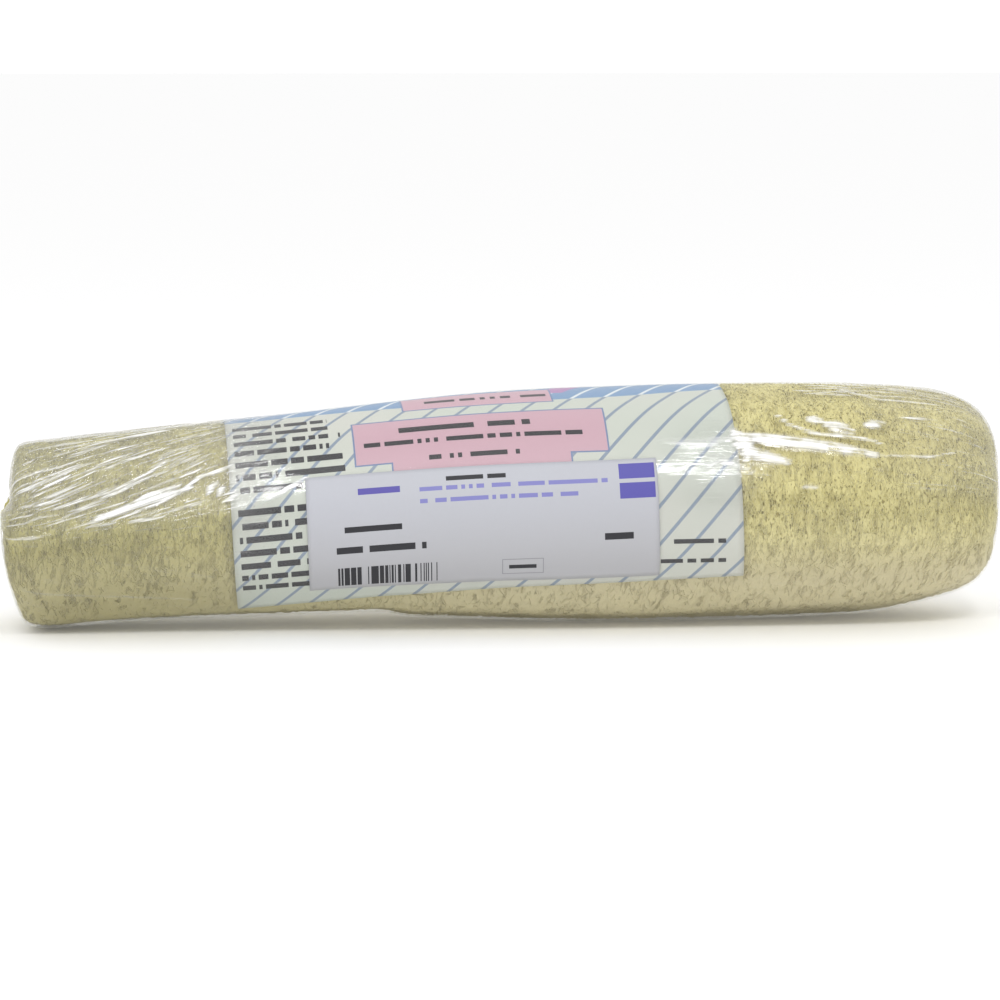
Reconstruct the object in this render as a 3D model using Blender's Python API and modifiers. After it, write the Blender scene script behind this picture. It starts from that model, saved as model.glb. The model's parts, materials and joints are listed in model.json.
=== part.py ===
"""Dried luffa gourd, lying on its side in clear film, with a printed card under the film and a label on it.

The gourd runs along X, its thick end at +X. The card and the label face -Y. The origin is on the surface that
it rests on, under the middle. Every piece follows one skin: an ellipse that is carried along the gourd
between a top outline, an underside outline and a side outline, each a cubic B-spline.
"""

import math

import bmesh
import bpy
import numpy as np

MM = 0.001

# The skin's outlines in millimetres, from the thin end's middle to the thick end's middle. The first and the
# last stretch are the end faces and their corners. The middle stretch shares its stations along X.
STATIONS = (-135, -117, -96, -72, -48, -24, 0, 25, 60, 98)
TOP_THIN_END = ((-148.6, 33), (-148.6, 38), (-148.3, 46), (-146.6, 54.6), (-143.5, 55.7))
TOP_HEIGHTS = (56.2, 58.0, 60.0, 62.3, 65.0, 67.5, 69.7, 70.5, 71.3, 71.1)
TOP_THICK_END = ((117, 70.3), (137, 68.2), (147.8, 61.6), (149.5, 52), (149.7, 43), (149.8, 36))
UNDER_THIN_END = ((-148.6, 33), (-147.3, 27), (-145.2, 14), (-142.2, 1.2), (-139.4, -0.1))
UNDER_HEIGHTS = (-1.25, 0.7, 1.3, 1.7, 1.7, 1.3, 0.3, -0.9, -0.7, 0.5)
UNDER_THICK_END = ((112, 0.8), (127, 4.0), (146.0, 8.6), (149.4, 19), (149.9, 28), (149.8, 36))
SIDE_THIN_END = ((-148.6, 0), (-148.5, 6), (-147.6, 17), (-146.0, 26.6), (-142.3, 28.3))
SIDE_WIDTHS = (28.7, 29.4, 30.2, 31.0, 32.4, 34.1, 35.5, 36.1, 36.7, 36.5)
SIDE_THICK_END = ((117, 35.8), (134.5, 33.2), (145.2, 26.5), (148.6, 17), (149.7, 7), (149.8, 0))

# The upper half of the thin end is cut a little shorter than the lower half.
STEP_DEPTH = 2.7
STEP_HEIGHT = 37.6
STEP_SOFTNESS = 2.2
STEP_REACH = 136.0

# A tuck in the underside: it deepens slowly from the thin end and ends in a short lip.
TUCK_DEPTH = 1.6
TUCK_LIP = -37.0
TUCK_RUN = 33.0
TUCK_LIP_RUN = 6.5
TUCK_WIDTH = math.radians(34)

# Shallow ribs along the gourd, with a slight twist, show through everything that is wrapped round it.
RIB_COUNT = 10
RIB_DEPTH = 0.4
RIB_TWIST = math.radians(10) / 210.0
RIB_CREST = (35.0, math.radians(-90))

# How deep each piece lies under the film's outside, and how thick the sheets are
FILM_THICKNESS = 0.25
CARD_DEPTH = 0.55
CARD_THICKNESS = 0.3
GOURD_DEPTH = 1.15
LABEL_LIFT = 0.55
LABEL_THICKNESS = 0.25

# The gourd's fibre net, its deeper grooves between the ribs, and the seed chambers in it
NET_RELIEF = 0.8
GROOVE_RELIEF = 0.5
CHAMBER_RADII = (6.6, 7.8)
CHAMBER_RING = 10.0
CHAMBER_AXIS_ENDS = (30.5, 36.5)
CHAMBER_REACH = 160.0
CHAMBER_SIDES = 12

# The film's round openings at the thin end and at the thick end
OPENING_RADII = (14.0, 15.0)

# The sheets: length along the gourd, height round it, place of the middle, and turn on the skin
CARD_SIZE = (148.0, 105.0)
CARD_CENTRE = (-7.2, math.radians(50))
CARD_TURN = math.radians(2.7)
LABEL_SIZE = (102.0, 36.5)
LABEL_CENTRE = (-7.3, math.radians(-1.9))
LABEL_TURN = math.radians(1.6)

# Mesh steps: round the gourd, along it, and how far the rings crowd into the corners of the ends
GOURD_SEGMENTS = 48
GOURD_RINGS = 64
FILM_SEGMENTS = 40
FILM_RINGS = 40
CORNER_SHARE = 0.4
CARD_CELLS = (15, 20)
LABEL_CELLS = (11, 8)

GOURD_COLOUR = (0.62, 0.56, 0.33)
FILM_COLOUR = (0.9, 0.9, 0.9)
CARD_COLOUR = (0.66, 0.68, 0.62)
LABEL_COLOUR = (0.8, 0.8, 0.83)


def outline(thin_end, middle, thick_end):
    """Control points of one outline: the thin end, the stations along X, and the thick end."""
    return np.array(list(thin_end) + list(zip(STATIONS, middle)) + list(thick_end), float)


TOP = outline(TOP_THIN_END, TOP_HEIGHTS, TOP_THICK_END)
UNDER = outline(UNDER_THIN_END, UNDER_HEIGHTS, UNDER_THICK_END)
SIDE = outline(SIDE_THIN_END, SIDE_WIDTHS, SIDE_THICK_END)
LAST = len(TOP) - 1.0


def spline(points, t):
    """Uniform cubic B-spline over the control points, at t from 0 to LAST, through both end points."""
    first = 2 * points[:1] - points[1:2]
    last = 2 * points[-1:] - points[-2:-1]
    held = np.concatenate([first, points, last])
    t = np.clip(np.asarray(t, float), 0, LAST)
    i = np.minimum(t.astype(int), int(LAST) - 1)
    f = (t - i)[..., None]
    weights = ((1 - f) ** 3, 3 * f**3 - 6 * f**2 + 4, -3 * f**3 + 3 * f**2 + 3 * f + 1, f**3)
    return sum(w * held[i + k] for k, w in enumerate(weights)) / 6


def smooth_step(x):
    """0 below 0, 1 above 1, and a smooth rise between them."""
    x = np.clip(x, 0, 1)
    return x * x * (3 - 2 * x)


def end_fade(t):
    """1 along the gourd, falling to 0 in the middle of each end face."""
    return smooth_step((t - 1) / 3) * smooth_step((LAST - 1 - t) / 3)


def groove(x, angle):
    """0 on the crest of a rib and 1 in the groove between two ribs."""
    crest_x, crest_angle = RIB_CREST
    return (1 - np.cos(RIB_COUNT * (angle - crest_angle - RIB_TWIST * (x - crest_x)))) / 2


def bare_skin(t, angle):
    """The film's outside in millimetres. Angle 0 is at -Y, 90 degrees at the top, -90 at the underside."""
    top, under, side = spline(TOP, t), spline(UNDER, t), spline(SIDE, t)
    across, up = np.cos(angle), np.sin(angle)
    end_x = np.where(up > 0, top[..., 0], under[..., 0])
    x = across**2 * side[..., 0] + up**2 * end_x
    sunk = RIB_DEPTH * groove(x, angle) * end_fade(t)
    y = -across * (side[..., 1] - sunk)
    z = (top[..., 1] + under[..., 1]) / 2 + up * ((top[..., 1] - under[..., 1]) / 2 - sunk)
    shorter = smooth_step((z - STEP_HEIGHT) / STEP_SOFTNESS / 2 + 0.5) * smooth_step((-STEP_REACH - x) / 6)
    x = x + STEP_DEPTH * shorter
    before_lip = np.exp(np.minimum(x - TUCK_LIP, 0) / TUCK_RUN)
    past_lip = np.exp(-((np.maximum(x - TUCK_LIP, 0) / TUCK_LIP_RUN) ** 2))
    low = np.exp(-((np.arccos(np.clip(-up, -1, 1)) / TUCK_WIDTH) ** 2))
    z = z + TUCK_DEPTH * before_lip * past_lip * low * smooth_step((x + 141) / 20)
    return np.stack([x, y, np.maximum(z, 0)], axis=-1)


def skin(t, angle, depth):
    """Points that lie the given depth in millimetres under the film's outside, measured square to it."""
    t, angle = np.broadcast_arrays(np.asarray(t, float), np.asarray(angle, float))
    inner_t = np.clip(t, 0.03, LAST - 0.03)
    along = bare_skin(inner_t + 0.02, angle) - bare_skin(inner_t - 0.02, angle)
    around = bare_skin(inner_t, angle + 0.01) - bare_skin(inner_t, angle - 0.01)
    inward = np.cross(around, along)
    inward /= np.linalg.norm(inward, axis=-1, keepdims=True)
    return bare_skin(t, angle) + np.asarray(depth)[..., None] * inward


def ring_stations(start, end, rings):
    """Spline parameters from start to end, spaced by the side outline's length and by its turn at corners."""
    t = np.linspace(start, end, 2001)
    steps = np.diff(spline(SIDE, t), axis=0)
    length = np.linalg.norm(steps, axis=1)
    turn = np.abs(np.diff(np.unwrap(np.arctan2(steps[:, 1], steps[:, 0])), prepend=math.pi / 2))
    share = np.cumsum(length / length.sum() + CORNER_SHARE * turn / turn.sum())
    return np.interp(np.linspace(0, share[-1], rings + 1), np.concatenate([[0], share]), t)


def parameter_at(x):
    """The spline parameter at which the side outline reaches x, away from the end faces."""
    t = np.linspace(5, 17, 1000)
    return np.interp(x, spline(SIDE, t)[:, 0], t)


def wrapped_sheet(along, up, centre, turn, depth):
    """Lays a flat sheet's own coordinates on the skin: along the gourd, and up round it from the centre."""
    x = centre[0] + along * math.cos(turn) - up * math.sin(turn)
    arc = up * math.cos(turn) + along * math.sin(turn)
    t = parameter_at(x)
    radius = (spline(TOP, t)[..., 1] - spline(UNDER, t)[..., 1]) / 4 + spline(SIDE, t)[..., 1] / 2
    return skin(t, centre[1] + arc / radius, np.full(np.shape(along), depth))


def new_object(name, mesh, collection, colour=GOURD_COLOUR, roughness=0.8):
    """Links an object with its own material."""
    obj = bpy.data.objects.new(name, mesh)
    collection.objects.link(obj)
    material = bpy.data.materials.new(name)
    material.use_nodes = True
    shader = material.node_tree.nodes["Principled BSDF"]
    shader.inputs["Base Color"].default_value = (*colour, 1)
    shader.inputs["Roughness"].default_value = roughness
    mesh.materials.append(material)
    return obj


def skinned_sphere(segments, rings):
    """A UV sphere, with each vertex's ring number from the thin end and its angle on the gourd."""
    bm = bmesh.new()
    bmesh.ops.create_uvsphere(bm, u_segments=segments, v_segments=rings, radius=1)
    bm.verts.ensure_lookup_table()
    places = np.array([v.co[:] for v in bm.verts])
    ring = np.rint(np.arccos(np.clip(places[:, 2], -1, 1)) / math.pi * rings).astype(int)
    segment = np.rint(np.arctan2(places[:, 1], places[:, 0]) / (2 * math.pi) * segments).astype(int)
    return bm, ring, segment


def place(bm, points):
    """Moves the vertices to points given in millimetres."""
    for vert, point in zip(bm.verts, points * MM):
        vert.co = point


def to_mesh(bm, name, smooth=True):
    """Writes the mesh and frees its builder."""
    mesh = bpy.data.meshes.new(name)
    bm.to_mesh(mesh)
    bm.free()
    if smooth:
        mesh.shade_smooth()
        mesh.set_sharp_from_angle(angle=math.radians(50))
    return mesh


def make_gourd(collection):
    """The gourd: ribs along it, and a net that is raised along the diagonals between every second vertex."""
    bm, ring, segment = skinned_sphere(GOURD_SEGMENTS, GOURD_RINGS)
    angle = 2 * math.pi * segment / GOURD_SEGMENTS
    t = ring_stations(0, LAST, GOURD_RINGS)[ring]
    raised = (ring + segment) % 2 == 0
    grooves = GROOVE_RELIEF * groove(spline(SIDE, t)[:, 0], angle)
    place(bm, skin(t, angle, GOURD_DEPTH + (NET_RELIEF * ~raised + grooves) * end_fade(t)))
    for face in [f for f in bm.faces if len(f.verts) == 4]:
        high = [v for v in face.verts if raised[v.index]]
        if len(high) == 2:
            bmesh.utils.face_split(face, *high)
    mesh = to_mesh(bm, "luffa_gourd", smooth=False)
    return new_object("luffa_gourd", mesh, collection, GOURD_COLOUR, 0.9)


def cut_chambers(gourd, cutters):
    """Three seed chambers run through the gourd from end to end."""
    start, end = CHAMBER_AXIS_ENDS
    for i in range(3):
        turn = math.radians(90 + 120 * i)
        bm = bmesh.new()
        bmesh.ops.create_cone(
            bm, cap_ends=True, segments=CHAMBER_SIDES, radius1=CHAMBER_RADII[0] * MM,
            radius2=CHAMBER_RADII[1] * MM, depth=2 * CHAMBER_REACH * MM,
        )
        cutter = new_object(f"chamber_cutter_{i + 1}", to_mesh(bm, f"chamber_cutter_{i + 1}"), cutters)
        cutter.rotation_euler = (0, math.pi / 2 - math.atan2(end - start, 2 * CHAMBER_REACH), 0)
        cutter.location = (
            0, -CHAMBER_RING * math.cos(turn) * MM, ((start + end) / 2 + CHAMBER_RING * math.sin(turn)) * MM,
        )
        cutter.hide_render = True
        cutter.display_type = "WIRE"
        cut = gourd.modifiers.new(f"chamber_{i + 1}", "BOOLEAN")
        cut.operation = "DIFFERENCE"
        cut.solver = "EXACT"
        cut.object = cutter


def thicken(obj, thickness):
    """Gives an open skin its wall, inwards from the modelled side."""
    wall = obj.modifiers.new("wall", "SOLIDIFY")
    wall.thickness = thickness * MM
    wall.offset = -1


def end_outlines():
    """For each end, the side outline's width out from the end face's middle, and its spline parameter."""
    t = np.linspace(0, 3, 300)
    thin = (spline(SIDE, t)[:, 1], t)
    thick = (spline(SIDE, LAST - t)[:, 1], LAST - t)
    return thin, thick


def make_film(collection):
    """The film: the whole skin, with a round opening at the middle of each end."""
    bm, ring, segment = skinned_sphere(FILM_SEGMENTS, FILM_RINGS)
    angle = 2 * math.pi * segment / FILM_SEGMENTS
    ends = [np.interp(radius, *rim) for radius, rim in zip(OPENING_RADII, end_outlines())]
    t = np.concatenate([[0], ring_stations(*ends, FILM_RINGS - 2), [LAST]])[ring]
    place(bm, skin(t, angle, np.zeros(len(t))))
    bmesh.ops.delete(bm, geom=[v for v in bm.verts if ring[v.index] in (0, FILM_RINGS)], context="VERTS")
    film = new_object("film_wrap", to_mesh(bm, "film_wrap"), collection, FILM_COLOUR, 0.1)
    thicken(film, FILM_THICKNESS)


def make_sheet(name, size, cells, centre, turn, depth, thickness, collection, colour):
    """A rectangular sheet laid on the skin, its print side outwards."""
    bm = bmesh.new()
    bmesh.ops.create_grid(bm, x_segments=cells[0], y_segments=cells[1], size=0.5)
    flat = np.array([v.co[:2] for v in bm.verts])
    place(bm, wrapped_sheet(flat[:, 0] * size[0], flat[:, 1] * size[1], centre, turn, depth))
    sheet = new_object(name, to_mesh(bm, name), collection, colour, 0.6)
    thicken(sheet, thickness)


def main():
    for obj in list(bpy.data.objects):
        bpy.data.objects.remove(obj)
    parts = bpy.data.collections.new("dried_luffa_gourd")
    cutters = bpy.data.collections.new("cutters")
    for collection in (parts, cutters):
        bpy.context.scene.collection.children.link(collection)
    gourd = make_gourd(parts)
    cut_chambers(gourd, cutters)
    make_film(parts)
    make_sheet("printed_card", CARD_SIZE, CARD_CELLS, CARD_CENTRE, CARD_TURN, CARD_DEPTH, CARD_THICKNESS,
               parts, CARD_COLOUR)
    make_sheet("sticker_label", LABEL_SIZE, LABEL_CELLS, LABEL_CENTRE, LABEL_TURN, -LABEL_LIFT,
               LABEL_THICKNESS, parts, LABEL_COLOUR)


main()
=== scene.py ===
"""Looks of a dried luffa gourd in clear shrink film, with a printed card under the film and a label on it."""
import json
import math

import bpy
import numpy as np
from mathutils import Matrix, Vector

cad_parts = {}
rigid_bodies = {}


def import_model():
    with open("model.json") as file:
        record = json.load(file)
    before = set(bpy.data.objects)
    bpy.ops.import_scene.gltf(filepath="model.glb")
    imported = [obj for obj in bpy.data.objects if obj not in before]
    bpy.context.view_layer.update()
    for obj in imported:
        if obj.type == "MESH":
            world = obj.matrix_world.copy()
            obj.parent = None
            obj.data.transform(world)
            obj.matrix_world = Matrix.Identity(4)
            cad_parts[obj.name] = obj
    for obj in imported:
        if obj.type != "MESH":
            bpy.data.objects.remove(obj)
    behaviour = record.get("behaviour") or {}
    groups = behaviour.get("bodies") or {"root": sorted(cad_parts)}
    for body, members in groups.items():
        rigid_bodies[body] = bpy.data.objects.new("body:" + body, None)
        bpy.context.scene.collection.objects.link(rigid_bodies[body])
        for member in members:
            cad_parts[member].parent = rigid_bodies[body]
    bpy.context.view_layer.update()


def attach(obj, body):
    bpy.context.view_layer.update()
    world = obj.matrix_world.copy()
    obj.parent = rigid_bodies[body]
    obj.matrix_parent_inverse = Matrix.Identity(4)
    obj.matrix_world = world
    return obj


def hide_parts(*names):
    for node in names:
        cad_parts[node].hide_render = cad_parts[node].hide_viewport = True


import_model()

MM = 0.001

# The skin's outlines in millimetres, from the thin end's middle to the thick end's middle, as the solids have
# them. The first and the last stretch are the end faces and their corners.
STATIONS = (-135, -117, -96, -72, -48, -24, 0, 25, 60, 98)
TOP_THIN_END = ((-148.6, 33), (-148.6, 38), (-148.3, 46), (-146.6, 54.6), (-143.5, 55.7))
TOP_HEIGHTS = (56.2, 58.0, 60.0, 62.3, 65.0, 67.5, 69.7, 70.5, 71.3, 71.1)
TOP_THICK_END = ((117, 70.3), (137, 68.2), (147.8, 61.6), (149.5, 52), (149.7, 43), (149.8, 36))
UNDER_THIN_END = ((-148.6, 33), (-147.3, 27), (-145.2, 14), (-142.2, 1.2), (-139.4, -0.1))
UNDER_HEIGHTS = (-1.25, 0.7, 1.3, 1.7, 1.7, 1.3, 0.3, -0.9, -0.7, 0.5)
UNDER_THICK_END = ((112, 0.8), (127, 4.0), (146.0, 8.6), (149.4, 19), (149.9, 28), (149.8, 36))
SIDE_THIN_END = ((-148.6, 0), (-148.5, 6), (-147.6, 17), (-146.0, 26.6), (-142.3, 28.3))
SIDE_WIDTHS = (28.7, 29.4, 30.2, 31.0, 32.4, 34.1, 35.5, 36.1, 36.7, 36.5)
SIDE_THICK_END = ((117, 35.8), (134.5, 33.2), (145.2, 26.5), (148.6, 17), (149.7, 7), (149.8, 0))

# The step in the thin end, the tuck in the underside and the ribs, as in the solids
STEP_DEPTH = 2.7
STEP_HEIGHT = 37.6
STEP_SOFTNESS = 2.2
STEP_REACH = 136.0
TUCK_DEPTH = 1.6
TUCK_LIP = -37.0
TUCK_RUN = 33.0
TUCK_LIP_RUN = 6.5
TUCK_WIDTH = math.radians(34)
RIB_COUNT = 10
RIB_DEPTH = 0.4
RIB_TWIST = math.radians(10) / 210.0
RIB_CREST = (35.0, math.radians(-90))

# Depths under the film's outside, in millimetres
FILM_DEPTH = 0.05
CARD_DEPTH = 0.35
CARD_THICKNESS = 0.25
LABEL_LIFT = 0.22
LABEL_THICKNESS = 0.15
FIBRE_DEPTH = 0.5
BODY_DEPTH = 0.72
CARD_DENT = 0.45

CARD_SIZE = (148.0, 105.0)
CARD_CENTRE = (-7.2, math.radians(50))
CARD_TURN = math.radians(2.7)
CARD_SKEW = 2.0
LABEL_SIZE = (102.0, 36.5)
LABEL_CENTRE = (-7.3, math.radians(-1.9))
LABEL_TURN = math.radians(1.9)

# The film's two round openings and the seed chambers, each pair from the thin end to the thick end
OPENING_RADII = (14.0, 15.0)
CHAMBER_RADII = (6.6, 7.8)
CHAMBER_RING = 10.0
CHAMBER_AXIS_ENDS = (30.5, 36.5)
CHAMBER_REACH = 160.0
MOUTH_X = {-1: -144.0, 1: 147.5}
MOUTH_STRAND_COUNT = 220
SURFACE_STRAND_COUNT = 7000

# The photograph's camera: its target and lens in millimetres, its distance in metres
CAMERA_AZIMUTH = math.radians(-4.6)
CAMERA_ELEVATION = math.radians(8.0)
CAMERA_TARGET = (0.1, 0, 36.4)
CAMERA_DISTANCE = 1.0115
CAMERA_LENS = 121.39

# The lamps, in metres, and the floor, in millimetres
LAMP_HEIGHT = 0.78
LAMP_FORWARD = 0.72
LAMP_DEPTH = 0.2
LAMP_RADIANCE = 17.0
FLOOR_HALF = 12000.0
FLOOR_GAP = 0.2

# The card's print in millimetres from its middle. Rows of plain bars: left, width, top, pitch, number of rows,
# a bar's share of the pitch, length of a word's cell, seed
CARD_ROWS = (
    (-72.0, 33.0, 13.4, 4.15, 7, 0.48, 0.95, 3.0),
    (-72.0, 33.0, -18.4, 4.15, 7, 0.48, 0.95, 7.0),
    (49.5, 22.0, -34.0, 6.2, 2, 0.22, 1.3, 2.0),
    (-15.0, 40.0, 19.6, 4.0, 1, 0.46, 1.5, 4.0),
    (-26.0, 56.0, 4.4, 4.4, 1, 0.5, 2.0, 6.0),
    (-34.5, 76.0, -0.5, 4.2, 1, 0.38, 1.2, 8.0),
    (-16.0, 36.0, -6.4, 4.2, 1, 0.38, 1.2, 12.0),
    (-60.0, 96.0, 60.0, 4.6, 5, 0.34, 1.2, 11.0),
)

# Pink panels: left, right, low, high. The last is a tab that joins the one above it and runs under the label.
PINK_PANELS = ((-22.0, 22.8, 12.4, 23.4), (-37.6, 36.6, -9.6, 7.6), (-27.0, 25.6, -20.0, -8.4))
PANEL_EDGE = 0.5
PRINT_SLANT = 0.045

# Diagonal stripes: where the first is, their spacing along x, their lean, and half a stripe as a share of it
STRIPE_START = 96.6
STRIPE_PITCH = 10.05
STRIPE_LEAN = 0.93
STRIPE_HALF = 0.066
BAND_EDGES = (16.4, 29.5)

# The label's print in the same way
VIOLET_ROW = (-36.0, 16.0, 14.4, 3.6, 1, 0.52, 40.0, 1.0)
PALE_VIOLET_ROWS = (-18.2, 56.0, 13.8, 3.5, 2, 0.36, 1.1, 4.0)
BLACK_ROWS = (
    (-14.0, 24.0, 16.4, 3.2, 1, 0.42, 1.2, 2.0),
    (-42.5, 26.0, 3.7, 4.2, 1, 0.42, 2.2, 5.0),
    (-42.8, 31.0, -2.4, 4.4, 1, 0.46, 1.9, 8.0),
    (35.0, 15.0, -2.4, 4.4, 1, 0.46, 2.1, 9.0),
)
SWATCHES = ((39.8, 50.2, 6.4, 11.0), (39.8, 50.2, 12.2, 16.8))
UPRIGHT_BLOCK = (-42.6, -13.8, -17.0, -10.2)
UPRIGHT_PITCH = 0.31
SMALL_FRAME = (5.0, 17.1, -15.6, -10.4)
FRAME_LINE = 0.25
FRAME_BAR = (7.0, 15.0, -13.7, -12.4)

# How the film's folds run: the slope of the fan of folds at the thin end and of those past the card, and the x
# at which a fold's own angle is told
FAN_SLOPE = 0.42
FAN_RADIUS = 32.0
FAN_START = -112.0

# Folds that stand out: points of x and degrees along the fold, half its width in millimetres, how white it is,
# which is a painted highlight along with the film's own whitening
FOLDS = (
    (((-119.5, 14), (-110, 19.5), (-103.6, 23), (-92.1, 28.2)), 1.15, 1.0),
    (((-114, 16), (-104, 26), (-95.1, 30)), 0.75, 0.8),
    (((-115.1, 12), (-100.7, 20.8), (-95.1, 26.3), (-89.3, 34.5), (-79.9, 39.8)), 0.5, 0.9),
    (((-131, 23), (-115, 30), (-103.6, 40.5), (-97.8, 49)), 0.45, 0.7),
    (((-135.5, 35.5), (-126.9, 43.5)), 0.5, 0.8),
    (((-141, 25), (-129.7, 28)), 0.5, 0.7),
    (((-121, 70), (-98, 79)), 0.8, 0.8),
    (((-96.6, 92), (-81.8, 86)), 0.8, 0.7),
    (((-87, 24), (-85.2, 30)), 1.0, 0.9),
    (((-83.5, 24), (-82.5, 28)), 0.9, 0.8),
    (((-82, 19), (-78.5, 21.5)), 0.7, 0.7),
    (((-72, 16), (-65, 22), (-58.7, 28.5)), 0.6, 0.7),
    (((-141.7, -27), (-115, -36), (-89.6, -43.5)), 0.4, 0.15),
    (((44.7, 39), (56, 37), (69, 40)), 1.2, 0.35),
    (((58, 24), (62, 28), (71, 22)), 0.6, 0.5),
    (((66, 41), (79, 38), (93, 34.5), (108.6, 29.5)), 1.7, 1.0),
    (((67, 36), (72, 31), (82, 26.5)), 1.5, 1.0),
    (((66, 44), (70, 36), (69, 28)), 1.7, 0.9),
    (((89, 50.5), (93, 48.5)), 1.3, 0.95),
    (((94, 47), (102, 42.5)), 1.9, 1.0),
    (((106, 46.5), (111, 48)), 1.4, 0.8),
    (((80, 53), (83, 47), (90, 42), (103.9, 39), (110.5, 36)), 0.5, 0.8),
    (((108.6, 29.5), (124, 29), (132, 32)), 0.4, 0.6),
    (((96, 85), (104, 74), (112, 66), (129, 65)), 0.6, 0.5),
    (((117, 52), (127, 52)), 0.5, 0.6),
    (((86, 14), (90, 14)), 0.6, 0.5),
)


# The skin

def outline(thin_end, middle, thick_end):
    """Control points of one outline: the thin end, the stations along X, and the thick end."""
    return np.array(list(thin_end) + list(zip(STATIONS, middle)) + list(thick_end), float)


TOP = outline(TOP_THIN_END, TOP_HEIGHTS, TOP_THICK_END)
UNDER = outline(UNDER_THIN_END, UNDER_HEIGHTS, UNDER_THICK_END)
SIDE = outline(SIDE_THIN_END, SIDE_WIDTHS, SIDE_THICK_END)
LAST = len(TOP) - 1.0


def spline(points, t):
    """Uniform cubic B-spline over the control points, at t from 0 to LAST, through both end points."""
    first = 2 * points[:1] - points[1:2]
    last = 2 * points[-1:] - points[-2:-1]
    held = np.concatenate([first, points, last])
    t = np.clip(np.asarray(t, float), 0, LAST)
    i = np.minimum(t.astype(int), int(LAST) - 1)
    f = (t - i)[..., None]
    weights = ((1 - f) ** 3, 3 * f**3 - 6 * f**2 + 4, -3 * f**3 + 3 * f**2 + 3 * f + 1, f**3)
    return sum(w * held[i + k] for k, w in enumerate(weights)) / 6


def smooth_step(x):
    """0 below 0, 1 above 1, and a smooth rise between them."""
    x = np.clip(x, 0, 1)
    return x * x * (3 - 2 * x)


def end_fade(t):
    """1 along the gourd, falling to 0 in the middle of each end face."""
    return smooth_step((t - 1) / 3) * smooth_step((LAST - 1 - t) / 3)


def groove(x, angle):
    """0 on the crest of a rib and 1 in the groove between two ribs."""
    crest_x, crest_angle = RIB_CREST
    return (1 - np.cos(RIB_COUNT * (angle - crest_angle - RIB_TWIST * (x - crest_x)))) / 2


def bare_skin(t, angle):
    """The film's outside in millimetres: an ellipse between the outlines at t. Angle 0 is at -Y, 90 degrees on
    top."""
    top, under, side = spline(TOP, t), spline(UNDER, t), spline(SIDE, t)
    across, up = np.cos(angle), np.sin(angle)
    end_x = np.where(up > 0, top[..., 0], under[..., 0])
    x = across**2 * side[..., 0] + up**2 * end_x
    sunk = RIB_DEPTH * groove(x, angle) * end_fade(t)
    y = -across * (side[..., 1] - sunk)
    z = (top[..., 1] + under[..., 1]) / 2 + up * ((top[..., 1] - under[..., 1]) / 2 - sunk)
    shorter = smooth_step((z - STEP_HEIGHT) / STEP_SOFTNESS / 2 + 0.5) * smooth_step((-STEP_REACH - x) / 6)
    x = x + STEP_DEPTH * shorter
    before_lip = np.exp(np.minimum(x - TUCK_LIP, 0) / TUCK_RUN)
    past_lip = np.exp(-((np.maximum(x - TUCK_LIP, 0) / TUCK_LIP_RUN) ** 2))
    low = np.exp(-((np.arccos(np.clip(-up, -1, 1)) / TUCK_WIDTH) ** 2))
    z = z + TUCK_DEPTH * before_lip * past_lip * low * smooth_step((x + 141) / 20)
    return np.stack([x, y, np.maximum(z, 0)], axis=-1)


def inward(t, angle):
    """The skin's unit normal into the gourd, from the cross product of its two tangents."""
    t = np.clip(t, 0.03, LAST - 0.03)
    along = bare_skin(t + 0.02, angle) - bare_skin(t - 0.02, angle)
    around = bare_skin(t, angle + 0.01) - bare_skin(t, angle - 0.01)
    normal = np.cross(around, along)
    return normal / np.linalg.norm(normal, axis=-1, keepdims=True)


def skin(t, angle, depth):
    """Points that lie the given depth in millimetres under the film's outside, measured square to it."""
    t, angle = np.broadcast_arrays(np.asarray(t, float), np.asarray(angle, float))
    points = bare_skin(t, angle) + np.asarray(depth)[..., None] * inward(t, angle)
    points[..., 2] = np.maximum(points[..., 2], 0.02)
    return points


SIDE_T = np.linspace(0, LAST, 4001)
SIDE_RUN = np.concatenate([[0], np.cumsum(np.linalg.norm(np.diff(spline(SIDE, SIDE_T), axis=0), axis=1))])


def t_at_run(run):
    """The spline parameter after a run in millimetres along the side outline, from the thin end's middle."""
    return np.interp(run, SIDE_RUN, SIDE_T)


def girth_radius(t):
    """The mean of the skin's half height and half width."""
    return (spline(TOP, t)[..., 1] - spline(UNDER, t)[..., 1]) / 4 + spline(SIDE, t)[..., 1] / 2


def parameter_at(x):
    """The spline parameter at which the side outline reaches x, away from the end faces."""
    t = np.linspace(5, 17, 1000)
    return np.interp(x, spline(SIDE, t)[:, 0], t)


def sheet_place(along, up, centre, turn):
    """A flat sheet's coordinates on the skin: the spline parameter and the angle of each of its points."""
    x = centre[0] + along * math.cos(turn) - up * math.sin(turn)
    arc = up * math.cos(turn) + along * math.sin(turn)
    t = parameter_at(x)
    return t, centre[1] + arc / girth_radius(t)


def on_sheet(x, angle, t, size, centre, turn, soft):
    """1 where a sheet lies over or under a place on the skin, falling to 0 over a soft border outside it."""
    offset = (angle - centre[1] + math.pi) % (2 * math.pi) - math.pi
    along = (x - centre[0]) * math.cos(turn) + offset * girth_radius(t) * math.sin(turn)
    up = offset * girth_radius(t) * math.cos(turn) - (x - centre[0]) * math.sin(turn)
    outside = np.maximum(np.abs(along) - size[0] / 2, np.abs(up) - size[1] / 2)
    return 1 - smooth_step(outside / soft)


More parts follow.
